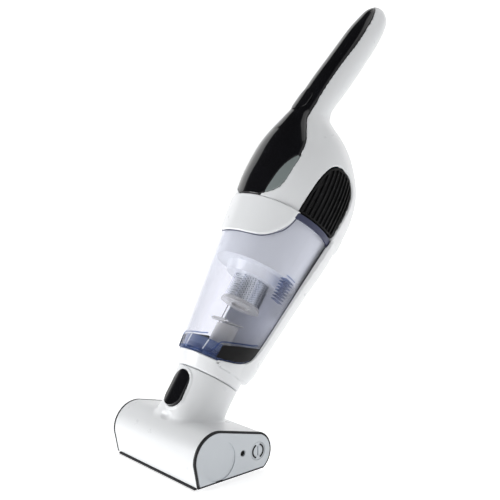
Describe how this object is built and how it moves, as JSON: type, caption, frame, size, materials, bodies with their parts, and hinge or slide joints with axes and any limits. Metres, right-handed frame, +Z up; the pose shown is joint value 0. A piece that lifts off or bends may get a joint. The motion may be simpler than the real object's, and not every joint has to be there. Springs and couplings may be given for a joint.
{
  "type": "cordless handheld vacuum cleaner",
  "caption": "Cordless handheld vacuum with a long grip, clear cyclone dust cup in a white frame, and a small motorised brush head on a short neck.",
  "frame": {"origin": "on the floor under the point where the body axis meets the brush head, in the plane of the glide strips", "axes": "+X along the brush head's width, +Y from the brush edge towards the back, +Z up"},
  "size_m": [0.14, 0.343, 0.4873],
  "materials": {
    "white_shell": "satin moulded white plastic",
    "grey_cap": "light grey fine-grained plastic",
    "gloss_black": "piano black plastic",
    "matte_black": "fine-grained black plastic",
    "soft_black": "soft black rubber",
    "smoke_clear": "clear smoky plastic",
    "blue_clear": "blue tinted clear plastic",
    "navy_seal": "dark blue rubber",
    "window_tint": "grey-green translucent plastic",
    "cream_plastic": "cream plastic",
    "steel_mesh": "woven steel mesh",
    "steel": "turned steel",
    "filter_media": "pleated filter paper",
    "bristle": "dense nylon bristle",
    "felt": "grey-black felt",
    "cell_wrap": "shrink-wrapped battery cell",
    "board": "green circuit board",
    "motor_steel": "rolled steel motor can",
    "grey_plastic": "dark grey moulded plastic"
  },
  "bodies": {
    "vacuum_body": {"main_housing": "white_shell", "top_cover": "gloss_black", "display_window": "window_tint", "exhaust_grille_left": "matte_black", "exhaust_grille_right": "matte_black", "control_board": "board", "power_switch": "matte_black", "motor_plate": "grey_plastic", "intake_seal": "soft_black", "motor_mount": "soft_black", "fan_housing": "grey_plastic", "suction_motor": "motor_steel", "battery_cells": "cell_wrap", "battery_holder": "matte_black", "charge_socket": "matte_black", "nozzle_tube": "grey_plastic"},
    "power_key": {"power_button": "gloss_black"},
    "fan": {"motor_shaft": "steel", "impeller": "grey_plastic"},
    "dust_cup": {"dust_bin": "smoke_clear", "bin_base": "blue_clear", "inlet_pipe": "cream_plastic", "bin_seal_ring": "navy_seal", "cup_collar": "white_shell", "filter_housing": "white_shell", "cyclone_shroud": "white_shell", "mesh_screen": "steel_mesh", "vortex_ring": "smoke_clear", "screen_cage": "smoke_clear", "pleated_filter": "filter_media", "filter_cap": "white_shell", "flap_pin": "steel"},
    "latch_right": {"bin_latch_right": "matte_black"},
    "latch_left": {"bin_latch_left": "matte_black"},
    "inlet_door": {"inlet_flap": "navy_seal"},
    "brush_head": {"head_shell": "white_shell", "sole_plate": "white_shell", "sole_screws": "steel", "glide_strips": "felt", "bumper_strip": "soft_black", "trim_band_left": "soft_black", "trim_band_right": "soft_black", "end_cap_left": "grey_cap", "end_cap_right": "grey_cap", "brush_bushings": "grey_plastic", "cap_screws": "steel", "head_duct": "grey_plastic", "head_contacts": "matte_black", "brush_motor": "motor_steel", "drive_belt": "soft_black", "roller_axles": "steel", "release_spring": "steel"},
    "release_key": {"head_release_button": "gloss_black"},
    "brush": {"brush_core": "grey_plastic", "bristle_strips": "bristle", "brush_pulley": "grey_plastic"},
    "belt_drive": {"motor_pulley": "steel"},
    "coin_turn": {"coin_lock": "grey_cap"},
    "roller_left": {"rear_roller_left": "matte_black"},
    "roller_right": {"rear_roller_right": "matte_black"}
  },
  "joints": [
    {"name": "head_detach", "type": "slide", "parent": "vacuum_body", "child": "brush_head", "axis": [0, -0.5736, -0.8192], "range_m": [0, 0.06]},
    {"name": "cup_removal", "type": "slide", "parent": "vacuum_body", "child": "dust_cup", "axis": [0, -0.8192, 0.5736], "range_m": [0, 0.06]},
    {"name": "power_press", "type": "slide", "parent": "vacuum_body", "child": "power_key", "axis": [0, 0.8192, -0.5736], "range_m": [0, 0.0012], "stiffness_N_per_m": 900, "springref_m": -0.0006},
    {"name": "fan_spin", "type": "hinge", "parent": "vacuum_body", "child": "fan", "pos_m": [0, 0.13971, 0.25347], "axis": [0, 0.5736, 0.8192], "continuous": true},
    {"name": "latch_right_press", "type": "slide", "parent": "dust_cup", "child": "latch_right", "axis": [-1, 0, 0], "range_m": [0, 0.0008], "stiffness_N_per_m": 900, "springref_m": -0.0006},
    {"name": "latch_left_press", "type": "slide", "parent": "dust_cup", "child": "latch_left", "axis": [1, 0, 0], "range_m": [0, 0.0008], "stiffness_N_per_m": 900, "springref_m": -0.0006},
    {"name": "inlet_flap_swing", "type": "hinge", "parent": "dust_cup", "child": "inlet_door", "pos_m": [0, 0.03837, 0.14449], "axis": [1, 0, 0], "range_deg": [0, 35], "stiffness_Nm_per_rad": 0.004, "springref_deg": -17.19},
    {"name": "release_press", "type": "slide", "parent": "brush_head", "child": "release_key", "axis": [0, 0.8192, -0.5736], "range_m": [0, 0.0025], "stiffness_N_per_m": 800, "springref_m": -0.001, "deforming": ["release_spring"]},
    {"name": "brush_spin", "type": "hinge", "parent": "brush_head", "child": "brush", "pos_m": [0, -0.0205, 0.024], "axis": [1, 0, 0], "continuous": true},
    {"name": "belt_drive_spin", "type": "hinge", "parent": "brush_head", "child": "belt_drive", "pos_m": [-0.0575, 0.031, 0.0215], "axis": [1, 0, 0], "continuous": true},
    {"name": "coin_lock_turn", "type": "hinge", "parent": "brush_head", "child": "coin_turn", "pos_m": [0.067, 0.0294, 0.022], "axis": [1, 0, 0], "range_deg": [0, 90]},
    {"name": "roller_left_spin", "type": "hinge", "parent": "brush_head", "child": "roller_left", "pos_m": [-0.04, 0.025, 0.0046], "axis": [1, 0, 0], "continuous": true},
    {"name": "roller_right_spin", "type": "hinge", "parent": "brush_head", "child": "roller_right", "pos_m": [0.04, 0.025, 0.0046], "axis": [1, 0, 0], "continuous": true}
  ],
  "couplings": [
    {"joint": "belt_drive_spin", "follows": "brush_spin", "ratio": 2.2}
  ]
}
